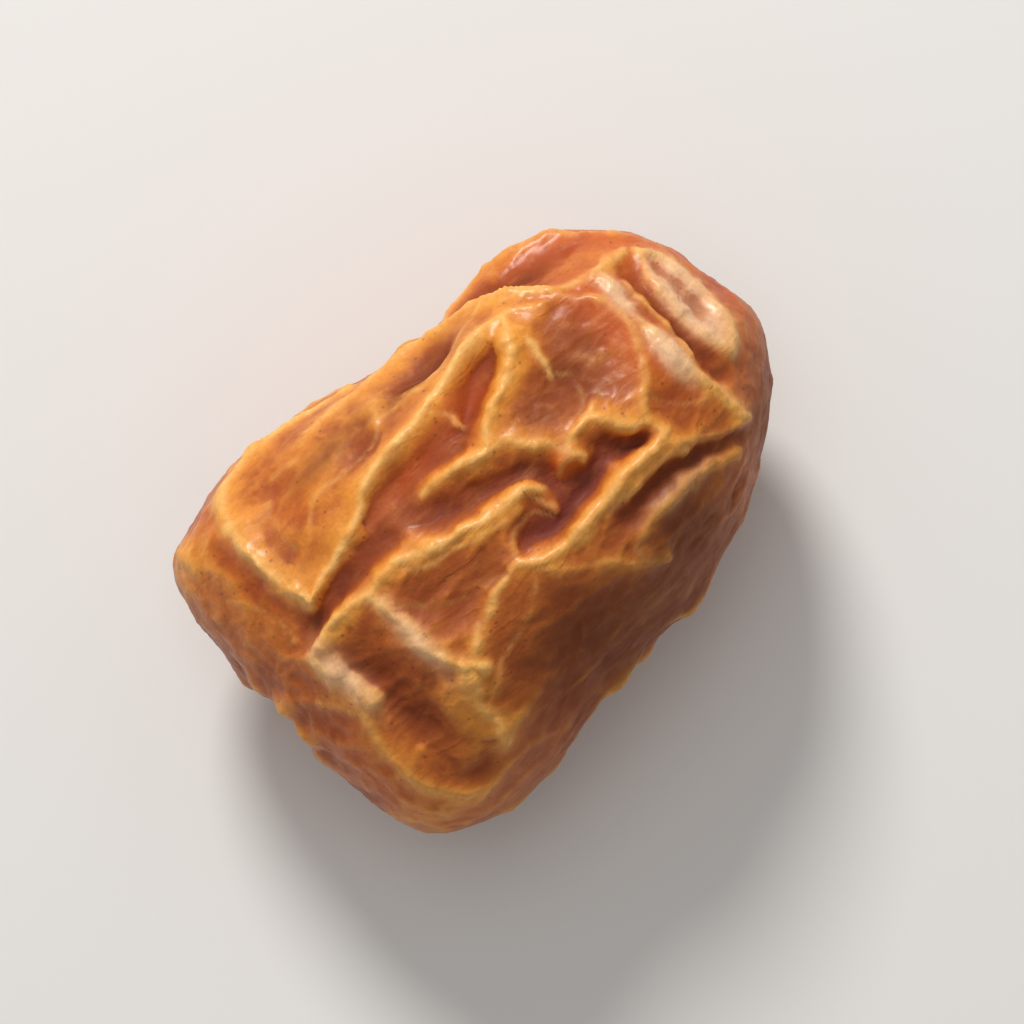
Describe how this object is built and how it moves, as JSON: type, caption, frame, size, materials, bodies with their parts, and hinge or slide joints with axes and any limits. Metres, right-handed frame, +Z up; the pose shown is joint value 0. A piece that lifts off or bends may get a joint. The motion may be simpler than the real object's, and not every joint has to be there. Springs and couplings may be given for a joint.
{
  "type": "date fruit",
  "caption": "Ripe golden date lying on its side: blunt stem end, narrower tip, loose skin shrunk into sharp folds and hollows, and a small flat spot underneath to rest on.",
  "frame": {"origin": "under the middle of the fruit, on the plane of the flat spot that it rests on", "axes": "+X along the fruit from the blunt stem end to the narrower tip, +Y across it, +Z up from the flat spot"},
  "size_m": [0.0388, 0.0274, 0.0224],
  "materials": {
    "date_skin": "thin wrinkled fruit skin, satin to glossy on the crests"
  },
  "bodies": {
    "root": {"date_fruit": "date_skin"}
  },
  "joints": []
}
